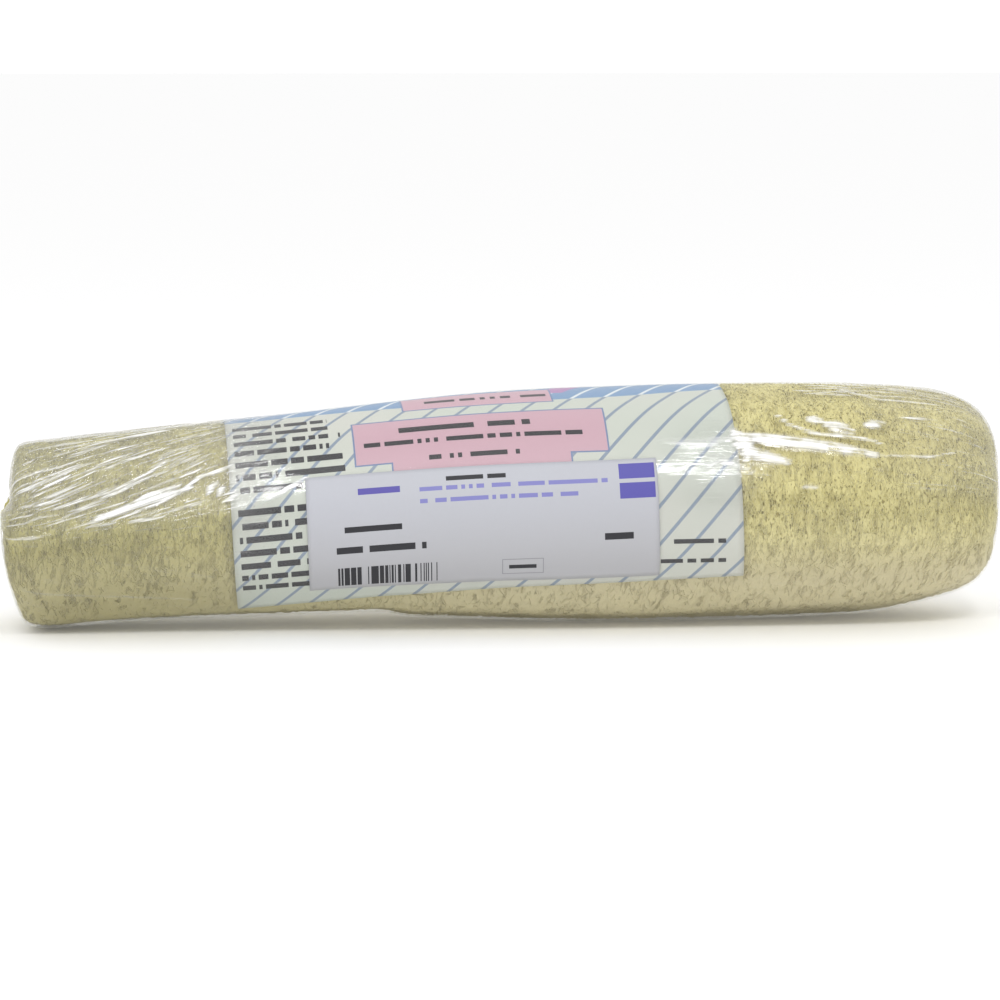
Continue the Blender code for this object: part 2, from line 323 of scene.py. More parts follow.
def fold_angle(x, own):
    """The angle at x of a fold whose angle at FAN_START is own, followed in small steps along its slope."""
    steps = 24
    angle = own + 0 * x
    for i in range(steps):
        at = FAN_START + (x - FAN_START) * (i + 0.5) / steps
        slope = FAN_SLOPE * (1 - smooth_step((at + 92) / 34)) - 0.12 * smooth_step((at - 60) / 20)
        angle = angle + slope * np.sin(2 * angle) / FAN_RADIUS * (x - FAN_START) / steps
    return angle


# Noise

def lattice(cells, seed):
    """A repeatable number from 0 to 1 for each whole-numbered cell, by mixing its three indices' bits."""
    primes = np.array([73856093, 19349663, 83492791], np.int64)
    h = (cells.astype(np.int64) * primes).sum(-1) + seed * 15485863
    h = (h ^ (h >> 13)) * 1274126177 & 0xFFFFFFFF
    h = (h ^ (h >> 15)) * 668265263 & 0xFFFFFFFF
    return ((h ^ (h >> 16)) & 0xFFFFFF) / 0xFFFFFF


def noise(points, seed):
    """Value noise from 0 to 1: the eight lattice numbers round a point, blended by smooth steps."""
    low = np.floor(points)
    f = smooth_step(points - low)
    total = 0
    for corner in np.ndindex(2, 2, 2):
        weight = np.prod(np.where(corner, f, 1 - f), axis=-1)
        total = total + weight * lattice(low + corner, seed)
    return total


# Meshes

def write_mesh(name, points, faces, smooth=True):
    """A mesh object at the origin from points in millimetres and an array of corner indices."""
    mesh = bpy.data.meshes.new(name)
    width = faces.shape[1]
    mesh.vertices.add(len(points))
    mesh.vertices.foreach_set("co", (points * MM).astype(np.float32).ravel())
    mesh.loops.add(faces.size)
    mesh.loops.foreach_set("vertex_index", faces.astype(np.int32).ravel())
    mesh.polygons.add(len(faces))
    mesh.polygons.foreach_set("loop_start", np.arange(0, faces.size, width, dtype=np.int32))
    mesh.update(calc_edges=True)
    mesh.validate()
    if smooth:
        mesh.shade_smooth()
    obj = bpy.data.objects.new(name, mesh)
    bpy.context.scene.collection.objects.link(obj)
    return obj


def grid_faces(rows, columns, wrapped):
    """Quads of a grid of points on the skin, row by row along x, that face outwards. A wrapped grid joins its
    last column to its first."""
    joins = columns if wrapped else columns - 1
    row, column = np.meshgrid(np.arange(rows - 1), np.arange(joins), indexing="ij")
    nxt = (column + 1) % columns
    here, ahead = row * columns, (row + 1) * columns
    corners = (here + column, ahead + column, ahead + nxt, here + nxt)
    return np.stack(corners, axis=-1).reshape(-1, 4)


def set_number(obj, name, values):
    """Stores one number for each vertex, which the materials read."""
    held = obj.data.attributes.new(name, "FLOAT", "POINT")
    held.data.foreach_set("value", np.asarray(values, np.float32).ravel())


def set_uv(obj, u, v):
    """Stores a UV map from one pair of numbers for each vertex."""
    corners = np.empty(len(obj.data.loops), np.int32)
    obj.data.loops.foreach_get("vertex_index", corners)
    uv = np.stack([u.ravel()[corners], v.ravel()[corners]], axis=-1)
    obj.data.uv_layers.new(name="print").data.foreach_set("uv", uv.astype(np.float32).ravel())


def finish_piece(obj, material, slot, *nodes):
    """Gives a piece its material, its body and the nodes it stands for. The slot is not used."""
    obj.data.materials.clear()
    obj.data.materials.append(material)
    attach(obj, "root")
    if nodes:
        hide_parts(*nodes)
    return obj


# Shader maths

class Num:
    """A number socket. An expression on it adds its Math nodes."""

    def __init__(self, paint, socket):
        self.paint = paint
        self.socket = socket

    def __add__(self, other):
        return self.paint.math("ADD", self, other)

    def __sub__(self, other):
        return self.paint.math("SUBTRACT", self, other)

    def __rsub__(self, other):
        return self.paint.math("SUBTRACT", other, self)

    def __mul__(self, other):
        return self.paint.math("MULTIPLY", self, other)

    def __truediv__(self, other):
        return self.paint.math("DIVIDE", self, other)

    def __gt__(self, other):
        return self.paint.math("GREATER_THAN", self, other)

    def __lt__(self, other):
        return self.paint.math("LESS_THAN", self, other)

    __radd__ = __add__
    __rmul__ = __mul__


class Paint:
    """A material's node tree, with one method for every node and a few for the sums made often."""

    def __init__(self, name):
        self.material = bpy.data.materials.new(name)
        self.material.use_nodes = True
        self.tree = self.material.node_tree
        self.tree.nodes.clear()

    def node(self, kind, settings=None, **values):
        """Adds a node: its settings first, then a value or a link for each socket, named with _ for a space."""
        made = self.tree.nodes.new("ShaderNode" + kind)
        for key, value in (settings or {}).items():
            setattr(made, key, value)
        for key, value in values.items():
            key = int(key[1:]) if key[0] == "_" else key.replace("_", " ")
            self.put(made.inputs[key], value)
        return made

    def put(self, into, value):
        """Sets or links one input."""
        if isinstance(value, Num):
            value = value.socket
        if isinstance(value, bpy.types.NodeSocket):
            self.tree.links.new(value, into)
        else:
            into.default_value = value

    def num(self, socket):
        return Num(self, socket)

    def math(self, operation, *values, clamp=False):
        sums = {f"_{i}": value for i, value in enumerate(values)}
        return self.num(self.node("Math", {"operation": operation, "use_clamp": clamp}, **sums).outputs[0])

    def ramp(self, value, low, high, out_low=0.0, out_high=1.0):
        """A smooth rise from out_low at low to out_high at high."""
        made = self.node("MapRange", {"interpolation_type": "SMOOTHSTEP"}, Value=value,
                         From_Min=low, From_Max=high, To_Min=out_low, To_Max=out_high)
        return self.num(made.outputs[0])

    def mix(self, factor, a, b, blend="MIX"):
        """Two colours mixed by a factor."""
        made = self.node("Mix", {"data_type": "RGBA", "blend_type": blend}, _0=factor, _6=a, _7=b)
        return made.outputs[2]

    def noise(self, vector, scale, detail=2.0, rough=0.5):
        made = self.node("TexNoise", Vector=vector, Scale=scale, Detail=detail, Roughness=rough)
        return self.num(made.outputs[0])

    def stretched(self, vector, scale):
        """A vector with each part multiplied."""
        return self.node("VectorMath", {"operation": "MULTIPLY"}, _0=vector, _1=scale).outputs[0]

    def objects(self):
        return self.node("TexCoord").outputs["Object"]

    def attribute(self, name):
        return self.num(self.node("Attribute", {"attribute_name": name}).outputs["Fac"])

    def show(self, shader):
        self.put(self.node("OutputMaterial").inputs["Surface"], shader)
        return self.material


def rgb(red, green, blue):
    return (red, green, blue, 1.0)


# Materials

def luffa_material(name, light, dark):
    """Dry fibre: a straw colour with fine streaks and small pits that run round the gourd, darkened as painted
    shade, darker towards the thin end, and greyer and flatter towards the underside, as painted floor light and
    its reflection in the film."""
    p = Paint(name)
    at = p.objects()
    place = p.node("SeparateXYZ", Vector=at)
    x, z = p.num(place.outputs[0]), p.num(place.outputs[2])
    patches = p.noise(p.stretched(at, (22, 60, 60)), 1.0, 3)
    bands = p.noise(p.stretched(at, (5, 120, 120)), 1.0, 3)
    streaks = p.noise(p.stretched(at, (2600, 800, 800)), 1.0, 2, 0.6)
    pits = p.noise(p.stretched(at, (2100, 900, 900)), 1.0, 1)
    tone = p.attribute("tone")
    shade = p.math("ADD", tone * 0.7 + (streaks - 0.5) * 1.3, (patches - 0.5) * 0.35 + (bands - 0.5) * 0.7,
                   clamp=True)
    colour = p.mix(shade, rgb(*dark), rgb(*light))
    # painted light: towards the underside the colour turns greyer and lighter, standing in for the pale floor's
    # light and its reflection in the film
    low = p.ramp(z, 0.036, 0.014, 0.0, 0.75)
    colour = p.mix(low, colour, rgb(0.67, 0.61, 0.43))
    colour = p.mix(p.ramp(x, 0.03, -0.13, 0.0, 0.85), colour, rgb(0.7, 0.7, 0.5), "MULTIPLY")
    # painted shade: the pits are sunk by the bump and darkened, as the shade in the gaps between the fibres,
    # weaker towards the underside
    depth = p.ramp(pits + tone * 0.05, 0.43, 0.35) * (0.8 - 0.85 * low)
    colour = p.mix(depth, colour, rgb(0.26, 0.21, 0.06))
    bump = p.node("Bump", Strength=0.6, Distance=0.0002, Height=(streaks - depth * 0.8) * (1 - low))
    shader = p.node("BsdfPrincipled", Base_Color=colour, Roughness=0.9, Normal=bump.outputs[0])
    return p.show(shader.outputs[0])


def film_material():
    """Clear film: mostly see-through, a mirror share by Fresnel's law, and white veils along its folds, which
    are painted highlights along with the whitening of creased film.
    """
    p = Paint("clear_film")
    crease, fold = p.attribute("crease"), p.attribute("fold")
    place = p.node("Attribute", {"attribute_name": "fold_place"}).outputs["Vector"]
    fine = p.noise(p.stretched(place, (0.045, 2.6, 2.6)), 1.0, 2, 0.6)
    broken = p.noise(p.stretched(place, (0.2, 0.5, 0.5)), 1.0, 2)
    soft = p.noise(p.stretched(place, (0.05, 0.25, 0.25)), 1.0, 2)
    glint_dots = p.noise(p.stretched(place, (0.9, 1.6, 1.6)), 1.0, 1)
    # painted highlights: thin bright streaks and specks where the film is creased
    streaks = p.ramp(fine, 0.56, 0.68) * p.ramp(broken, 0.42, 0.62)
    height = fine * (crease * 1.0 + 0.06) + soft * 0.6 + broken * crease * 0.5
    bump = p.node("Bump", Strength=1.0, Distance=0.0005, Height=height)
    mirror = (p.num(p.node("Fresnel", IOR=1.5).outputs[0]) * 0.55 + 0.035) * p.ramp(crease, 0.0, 0.25, 0.6, 1.0)
    clear = p.node("BsdfTransparent", Color=rgb(0.99, 0.99, 0.985))
    gloss = p.node("BsdfGlossy", Color=rgb(1, 1, 1), Roughness=0.08, Normal=bump.outputs[0])
    film = p.node("MixShader", _0=mirror, _1=clear.outputs[0], _2=gloss.outputs[0])
    dull = p.node("BsdfDiffuse", Color=rgb(0.98, 0.98, 0.96))
    sheen = p.node("BsdfGlossy", Color=rgb(1, 1, 1), Roughness=0.35, Normal=bump.outputs[0])
    haze = p.node("MixShader", _0=0.3, _1=dull.outputs[0], _2=sheen.outputs[0])
    # painted highlights: how much white haze covers the film along its folds and creases, partly the film's own
    # whitening
    glints_and_whitening = p.math("ADD", streaks * crease * 0.68 + p.ramp(glint_dots, 0.68, 0.76) * crease * 0.45,
                  fold * (p.ramp(broken, 0.3, 0.55, 0.15, 0.65) + p.ramp(fine, 0.4, 0.6, 0.0, 0.6))
                  + crease * 0.12 + 0.01, clamp=True)
    both = p.node("MixShader", _0=glints_and_whitening, _1=film.outputs[0], _2=haze.outputs[0])
    return p.show(both.outputs[0])


def between(value, low, high):
    """1 where the value lies between two numbers."""
    return (value > low) * (value < high)


def block(x, y, edges, inset=0.0):
    """1 inside a rectangle, given as left, right, low and high, made smaller all round by an inset."""
    left, right, low, high = edges
    return between(x, left + inset, right - inset) * between(y, low + inset, high - inset)


def text_rows(p, x, y, left, width, top, pitch, rows, thickness, cell, seed):
    """Plain bars in rows, broken into words at random cells, with a ragged right side."""
    row = p.math("FLOOR", (top - y) / pitch)
    part = (top - y) / pitch - row
    column = p.math("FLOOR", (x - left) / cell)
    words = p.node("TexWhiteNoise", {"noise_dimensions": "3D"},
                   Vector=p.node("CombineXYZ", X=column, Y=row, Z=seed).outputs[0]).outputs[0]
    ends = p.node("TexWhiteNoise", {"noise_dimensions": "2D"},
                  Vector=p.node("CombineXYZ", X=row, Y=seed, Z=0.0).outputs[0]).outputs[0]
    reach = left + width * (0.72 + 0.28 * p.num(ends))
    in_bar = between(part, 0.5 - thickness / 2, 0.5 + thickness / 2)
    in_rows = between(row, -0.5, rows - 0.5)
    return in_bar * in_rows * (x > left) * (x < reach) * (p.num(words) < 0.83)


def card_material():
    """Printed card: pale paper, diagonal stripes, a blue head band, pink panels and rows of plain bars."""
    p = Paint("card_paper")
    uv = p.node("SeparateXYZ", Vector=p.node("UVMap", {"uv_map": "print"}).outputs[0])
    x = (p.num(uv.outputs[0]) - 0.5) * CARD_SIZE[0]
    flat_y = (p.num(uv.outputs[1]) - 0.5) * CARD_SIZE[1]
    y = flat_y + PRINT_SLANT * x
    diagonal = (x - STRIPE_LEAN * flat_y - STRIPE_START) / STRIPE_PITCH
    stripe = p.math("ABSOLUTE", diagonal - p.math("ROUND", diagonal)) < STRIPE_HALF
    tint = p.noise(p.stretched(p.objects(), (20, 20, 20)), 1.0, 2)
    paper = p.mix(p.ramp(tint, 0.3, 0.7), rgb(0.59, 0.63, 0.565), rgb(0.63, 0.64, 0.585))
    colour = p.mix(stripe, paper, rgb(0.27, 0.33, 0.42))
    # the head band's lower edge sags in the middle and rises at the right
    band_y = y + 2.8 * p.math("EXPONENT", (x - 12) * (x - 12) / -1450.0) - p.ramp(x, 42.0, 76.0, 0.0, 2.4)
    banded = p.mix(stripe, rgb(0.21, 0.345, 0.54), rgb(0.75, 0.79, 0.79))
    colour = p.mix(between(band_y, *BAND_EDGES), colour, banded)
    slanted = x - STRIPE_LEAN * (flat_y - 22.0)
    colour = p.mix(between(slanted, 21.5, 30.0) * between(y, 19.0, 29.5), colour, rgb(0.46, 0.24, 0.47))
    ink = rgb(0.19, 0.26, 0.43)
    pink = rgb(0.61, 0.405, 0.47)
    # all outlines first and then all insides, so that no line is left where the tab joins
    for inset, tone in ((0.0, ink), (PANEL_EDGE, pink)):
        for panel in PINK_PANELS:
            colour = p.mix(block(x, y, panel, inset), colour, tone)
    bars = sum((text_rows(p, x, y, *row) for row in CARD_ROWS[1:]), text_rows(p, x, y, *CARD_ROWS[0]))
    colour = p.mix(p.math("MINIMUM", bars, 1.0), colour, rgb(0.02, 0.02, 0.025))
    shader = p.node("BsdfPrincipled", Base_Color=colour, Roughness=0.45)
    return p.show(shader.outputs[0])


def label_material():
    """Matt white label paper, lighter towards its top edge as painted light, with rows of plain bars, two
    violet blocks, upright bars and a small frame.
    """
    p = Paint("label_paper")
    uv = p.node("SeparateXYZ", Vector=p.node("UVMap", {"uv_map": "print"}).outputs[0])
    x = (p.num(uv.outputs[0]) - 0.5) * LABEL_SIZE[0]
    y = (p.num(uv.outputs[1]) - 0.5) * LABEL_SIZE[1]
    fibre = p.noise(p.stretched(p.objects(), (900, 900, 900)), 1.0, 2)
    # painted light: the paper is lighter and a little bluer towards its top edge, as the light falls from above
    white = p.mix(p.ramp(y, -14.0, 12.0), rgb(0.43, 0.43, 0.45), rgb(0.49, 0.5, 0.545))
    colour = p.mix(fibre * 0.15, white, rgb(0.4, 0.4, 0.42))
    violet = rgb(0.1, 0.085, 0.36)
    pale_violet = rgb(0.22, 0.22, 0.5)
    black = rgb(0.02, 0.02, 0.025)
    colour = p.mix(text_rows(p, x, y, *VIOLET_ROW), colour, violet)
    colour = p.mix(text_rows(p, x, y, *PALE_VIOLET_ROWS), colour, pale_violet)
    for row in BLACK_ROWS:
        colour = p.mix(text_rows(p, x, y, *row), colour, black)
    colour = p.mix(block(x, y, FRAME_BAR), colour, black)
    for swatch in SWATCHES:
        colour = p.mix(block(x, y, swatch), colour, rgb(0.1, 0.09, 0.38))
    column = p.math("FLOOR", (x - UPRIGHT_BLOCK[0]) / UPRIGHT_PITCH)
    upright = p.num(p.node("TexWhiteNoise", {"noise_dimensions": "1D"}, W=column * 0.37).outputs[0]) > 0.45
    colour = p.mix(block(x, y, UPRIGHT_BLOCK) * upright, colour, black)
    frame_line = block(x, y, SMALL_FRAME) * (1 - block(x, y, SMALL_FRAME, FRAME_LINE))
    colour = p.mix(frame_line, colour, rgb(0.26, 0.26, 0.28))
    bump = p.node("Bump", Strength=0.15, Distance=0.0001, Height=fibre)
    shader = p.node("BsdfPrincipled", Base_Color=colour, Roughness=0.6, Normal=bump.outputs[0])
    return p.show(shader.outputs[0])


def floor_material():
    """Plain white, matt."""
    p = Paint("pale_floor")
    shader = p.node("BsdfPrincipled", Base_Color=rgb(0.96, 0.96, 0.96), Roughness=1.0)
    shader.inputs["Specular IOR Level"].default_value = 0.0
    shader.inputs["Emission Color"].default_value = rgb(1, 1, 1)
    shader.inputs["Emission Strength"].default_value = 0.08
    return p.show(shader.outputs[0])


# The gourd

def circle_angles(count):
    return np.linspace(0, 2 * math.pi, count, endpoint=False)


def fibre_tone_and_groove_shade(x, angle):
    """How pale the fibre is at a place on the skin, with painted shade that makes it darker in the grooves
    between the ribs.
    """
    return 0.72 - 0.34 * groove(x, angle) ** 2


def cap_faces(columns, row_start, centre, flip):
    """A fan of triangles from a ring of points to one point."""
    around = row_start + np.arange(columns)
    nxt = row_start + (np.arange(columns) + 1) % columns
    pair = (around, nxt) if flip else (nxt, around)
    return np.stack([np.full(columns, centre), *pair], axis=-1)


def closed_tube(name, rings):
    """A closed mesh from rings of points, with a fan at each end."""
    rows, columns = rings.shape[:2]
    points = rings.reshape(-1, 3)
    poles = np.stack([rings[0].mean(0), rings[-1].mean(0)])
    quads = grid_faces(rows, columns, True)
    first = cap_faces(columns, 0, len(points), True)
    last = cap_faces(columns, (rows - 1) * columns, len(points) + 1, False)
    triangles = np.concatenate([quads[:, [0, 1, 2]], quads[:, [0, 2, 3]], first, last])
    return write_mesh(name, np.concatenate([points, poles]), triangles)


def chamber_centres(x):
    """The middles of the three seed chambers at x, as y and z."""
    height = np.interp(x, (-CHAMBER_REACH, CHAMBER_REACH), CHAMBER_AXIS_ENDS)
    turns = np.radians((90, 210, 330))
    return [(CHAMBER_RING * math.cos(turn), height + CHAMBER_RING * math.sin(turn)) for turn in turns]


def make_chamber(i):
    """One seed chamber: a long round hollow whose wall is lumpy and whose ends stick out of the gourd."""
    rows, columns = 150, 30
    x = np.linspace(-CHAMBER_REACH, CHAMBER_REACH, rows)[:, None]
    angle = -circle_angles(columns)
    y, z = chamber_centres(x)[i]
    radius = np.interp(x, (-CHAMBER_REACH, CHAMBER_REACH), CHAMBER_RADII)
    flat = np.stack(np.broadcast_arrays(x / 6, np.cos(angle) * 2.5 + 9 * i, np.sin(angle) * 2.5), axis=-1)
    radius = radius * (1 + 0.16 * (noise(flat, 41) - 0.5) + 0.1 * (noise(flat * 3, 42) - 0.5))
    rings = np.stack(np.broadcast_arrays(x, y + radius * np.cos(angle), z + radius * np.sin(angle)), axis=-1)
    return closed_tube(f"chamber_{i}", rings)


def make_luffa_body(material):
    """The felt under the surface strands: the skin, sunk in the grooves and pitted by noise that is long round
    the girth, with three seed chambers cut through it."""
    rows, columns = 400, 180
    t = t_at_run(np.linspace(0.4, SIDE_RUN[-1] - 0.4, rows))[:, None] + np.zeros(columns)
    angle = circle_angles(columns) + np.zeros((rows, 1))
    start = bare_skin(t, angle)
    pits = noise(start * (1 / 0.9, 1 / 2.4, 1 / 2.4), 11)
    lumps = noise(start / 7.0, 12)
    depth = BODY_DEPTH + (0.5 * groove(start[..., 0], angle) + 0.3 * (lumps - 0.5)) * end_fade(t)
    depth = depth + 0.5 * smooth_step((pits - 0.6) / 0.25)
    depth = depth + CARD_DENT * on_sheet(start[..., 0], angle, t, CARD_SIZE, CARD_CENTRE, CARD_TURN, 2.0)
    body = closed_tube("luffa_body", skin(t, angle, depth))
    # painted shade: the tone is darker in the grooves and where the felt is pitted deeper
    tone = fibre_tone_and_groove_shade(start[..., 0], angle) - 0.45 * smooth_step((pits - 0.55) / 0.3)
    set_number(body, "tone", np.concatenate([tone.ravel(), [0.4, 0.4]]))
    for i in range(3):
        chamber = make_chamber(i)
        # painted shade: the chamber walls that the cut leaves in the body are darker, as the shade inside the
        # hollows
        set_number(chamber, "tone", np.full(len(chamber.data.vertices), 0.3))
        cut = body.modifiers.new("chamber", "BOOLEAN")
        cut.operation, cut.solver, cut.object = "DIFFERENCE", "MANIFOLD", chamber
        shaped = bpy.data.meshes.new_from_object(body.evaluated_get(bpy.context.evaluated_depsgraph_get()))
        body.modifiers.remove(cut)
        body.data = shaped
        bpy.data.objects.remove(chamber)
    return finish_piece(body, material, "luffa_fibre", "luffa_gourd")


def strand_mesh(name, points, normals, widths, tones):
    """Three-sided strands along rows of points with outward normals, with closed, tapered ends."""
    count, steps = points.shape[:2]
    tangent = np.gradient(points, axis=1)
    side = np.cross(tangent, normals)
    side /= np.linalg.norm(side, axis=-1, keepdims=True) + 1e-12
    taper = np.minimum(1, 0.25 + 1.5 * np.sin(np.linspace(0, math.pi, steps)))[None, :, None]
    half = widths[:, None, None] / 2 * taper
    ring = np.stack([
        points + normals * half * 0.9,
        points + side * half - normals * half * 0.5,
        points - side * half - normals * half * 0.5,
    ], axis=2)
    corner = np.arange(3)
    nxt = (corner + 1) % 3
    row = np.arange(steps - 1)[:, None] * 3
    tube = np.stack([row + corner, row + nxt, row + 3 + nxt, row + 3 + corner], axis=-1).reshape(-1, 4)
    last = (steps - 1) * 3
    caps = [[2, 1, 0], [last, last + 1, last + 2]]
    triangles = np.concatenate([tube[:, [0, 1, 2]], tube[:, [0, 2, 3]], caps])
    faces = (np.arange(count)[:, None, None] * steps * 3 + triangles).reshape(-1, 3)
    obj = write_mesh(name, ring.reshape(-1, 3), faces)
    set_number(obj, "tone", np.repeat(tones, steps * 3))
    return obj


def surface_strands(name, count, middle_angle, spread, seed, material):
    """Short strands that lie on the felt, most of them round the girth. None lies under the card or over a
    chamber."""
    rng = np.random.default_rng(seed)
    steps = 4
    tries = 2 * count
    run = rng.uniform(3.0, SIDE_RUN[-1] - 3.0, tries)
    angle = middle_angle + rng.uniform(-spread, spread, tries)
    t = t_at_run(run)
    # fewer near the middles of the end faces, where the same angle is a shorter way round
    keep = rng.random(tries) < np.clip(girth_radius(t) / 28, 0.1, 1)
    covered = np.array(CARD_SIZE) - 8
    keep &= on_sheet(bare_skin(t, angle)[:, 0], angle, t, covered, CARD_CENTRE, CARD_TURN, 1) < 0.5
    run, angle = run[keep][:count], angle[keep][:count]
    count = len(run)
    at_end = 1 - end_fade(t_at_run(run))
    length = rng.uniform(1.8, 5.6, count)
    lean = rng.normal(0, 0.24 + 0.6 * (rng.random(count) < 0.15) + 0.8 * at_end, count)
    s = np.linspace(-0.5, 0.5, steps)
    reach = length[:, None] * s
    bend = rng.normal(0, 0.5, count)[:, None] * (4 * s**2 - 0.5)
    run_path = run[:, None] + reach * np.sin(lean)[:, None] + bend * np.cos(lean)[:, None]
    t = t_at_run(np.clip(run_path, 1.0, SIDE_RUN[-1] - 1.0))
    arc = reach * np.cos(lean)[:, None] - bend * np.sin(lean)[:, None]
    path_angle = angle[:, None] + arc / np.maximum(girth_radius(t), 6.0)
    start = bare_skin(t, path_angle)
    sunk = 0.5 * groove(start[..., 0], path_angle) * end_fade(t)
    # pressed flatter into the felt on the lower side
    pressed = 0.16 * smooth_step((-np.sin(path_angle) - 0.2) / 0.4)
    depth = FIBRE_DEPTH + rng.uniform(-0.1, 0.16, count)[:, None] + sunk + pressed + 0.3 * (2 * s) ** 4
    depth = depth + CARD_DENT * on_sheet(start[..., 0], path_angle, t, CARD_SIZE, CARD_CENTRE, CARD_TURN, 1.2)
    points = skin(t, path_angle, depth)
    clear = np.ones(count, bool)
    for y, z in chamber_centres(points[..., 0]):
        near = np.hypot(points[..., 1] - y, points[..., 2] - z) < CHAMBER_RADII[1] + 0.3
        clear &= ~(near & (np.abs(points[..., 0]) > 130)).any(1)
    # painted shade: darker in the grooves, with a random tone for each strand
    tones = fibre_tone_and_groove_shade(start[:, 1, 0], path_angle[:, 1]) + rng.normal(0.1, 0.22, count)
    outward = -inward(t, path_angle)
    strands = strand_mesh(name, points[clear], outward[clear], rng.uniform(0.16, 0.27, count)[clear],
                          np.clip(tones, 0, 1.3)[clear])
    return finish_piece(strands, material, "luffa_fibre")


def mouth_strands(name, end, count, seed, material):
    """Fine strands that cross the seed chambers near one end, slung between their walls."""
    rng = np.random.default_rng(seed)
    steps = 5
    reach = MOUTH_X[end]
    first = rng.uniform(0, 2 * math.pi, count)
    second = first + rng.uniform(0.5, 2.6, count)
    share = np.linspace(0, 1, steps)
    radius = rng.uniform(11, 16, (count, 1))
    middle = np.interp(reach, (-CHAMBER_REACH, CHAMBER_REACH), CHAMBER_AXIS_ENDS)
    y = radius * (np.cos(first)[:, None] * (1 - share) + np.cos(second)[:, None] * share)
    z = middle + radius * (np.sin(first)[:, None] * (1 - share) + np.sin(second)[:, None] * share)
    wave = 0.5 * np.sin(share * rng.uniform(3, 7, (count, 1)) + rng.uniform(0, 6, (count, 1)))
    x = reach - end * (rng.uniform(0, 1, (count, 1)) ** 2 * 13 + 0.8 + 1.2 * np.sin(math.pi * share) + wave)
    points = np.stack([x, y + wave, z - wave], axis=-1)
    outward = np.broadcast_to([float(end), 0, 0], points.shape)
    strands = strand_mesh(name, points, outward, rng.uniform(0.14, 0.34, count), rng.uniform(0.3, 0.9, count))
    return finish_piece(strands, material, "luffa_fibre")


# The film

def fold_field(x, angle, folds):
    """The height in millimetres and the whiteness, painted highlights along with the whitening of creased film,
    that a list of folds gives each place on the film. A fold is highest on its line and tapers to its ends."""
    height = np.zeros(x.shape)
    white = np.zeros(x.shape)
    flat_x, flat_angle = x.ravel(), angle.ravel()
    for points, half, strength in folds:
        line = np.array(points, float)
        centre = math.radians(line[:, 1].mean())
        arc = ((flat_angle - centre + math.pi) % (2 * math.pi) - math.pi) * FAN_RADIUS
        line[:, 1] = (np.radians(line[:, 1]) - centre) * FAN_RADIUS
        margin = 3 * half
        near = np.flatnonzero((flat_x > line[:, 0].min() - margin) & (flat_x < line[:, 0].max() + margin)
                              & (arc > line[:, 1].min() - margin) & (arc < line[:, 1].max() + margin))
        place = np.stack([flat_x[near], arc[near]], axis=-1)
        best = np.full(len(near), 1e9)
        along = np.zeros(len(near))
        for i in range(len(line) - 1):
            way = line[i + 1] - line[i]
            share = np.clip((place - line[i]) @ way / (way @ way), 0, 1)
            away = np.linalg.norm(place - line[i] - share[:, None] * way, axis=1)
            along = np.where(away < best, (i + share) / (len(line) - 1), along)
            best = np.minimum(best, away)
        width = half * (0.25 + 0.75 * np.sin(math.pi * np.clip(along, 0.04, 0.96)) ** 0.6)
        ridge = np.exp(-((best / width) ** 2))
        height.ravel()[near] += 0.4 * width * ridge * min(1, strength + 0.3)
        # painted highlight: the whiteness along the fold's line
        held = white.ravel()[near]
        white.ravel()[near] = np.maximum(held, strength * np.exp(-((best / width) ** 4)))
    return height, white


def random_folds(rng, count, x_range, angle_range, half_range, length_range, strength):
    """Folds that follow the fan, at random places, widths and lengths."""
    folds = []
    for _ in range(count):
        x0 = rng.uniform(*x_range)
        own = rng.uniform(*angle_range)
        x = x0 + np.linspace(0, 1, 4) * rng.uniform(*length_range)
        angle = np.degrees(fold_angle(x, np.full(4, own)) + rng.normal(0, 0.008, 4))
        folds.append((tuple(zip(x, angle)), rng.uniform(*half_range), strength * rng.uniform(0.3, 1)))
    return folds


def film_folds():
    """The listed folds and the random ones: at the front and top of the thin end, at its back, on top of the
    thick end, at its back, and along the back's middle."""
    rng = np.random.default_rng(5)
    folds = list(FOLDS)
    folds += random_folds(rng, 110, (-146, -92), (0.12, 1.75), (0.24, 0.5), (5, 16), 0.62)
    folds += random_folds(rng, 50, (-146, -95), (1.8, 4.7), (0.4, 0.8), (6, 24), 0.5)
    folds += random_folds(rng, 46, (84, 130), (0.85, 1.9), (0.3, 0.6), (5, 18), 0.6)
    folds += random_folds(rng, 34, (60, 132), (1.9, 4.7), (0.35, 0.6), (10, 30), 0.35)
    folds += random_folds(rng, 24, (-90, 60), (2.2, 5.0), (0.4, 0.7), (12, 34), 0.3)
    return folds


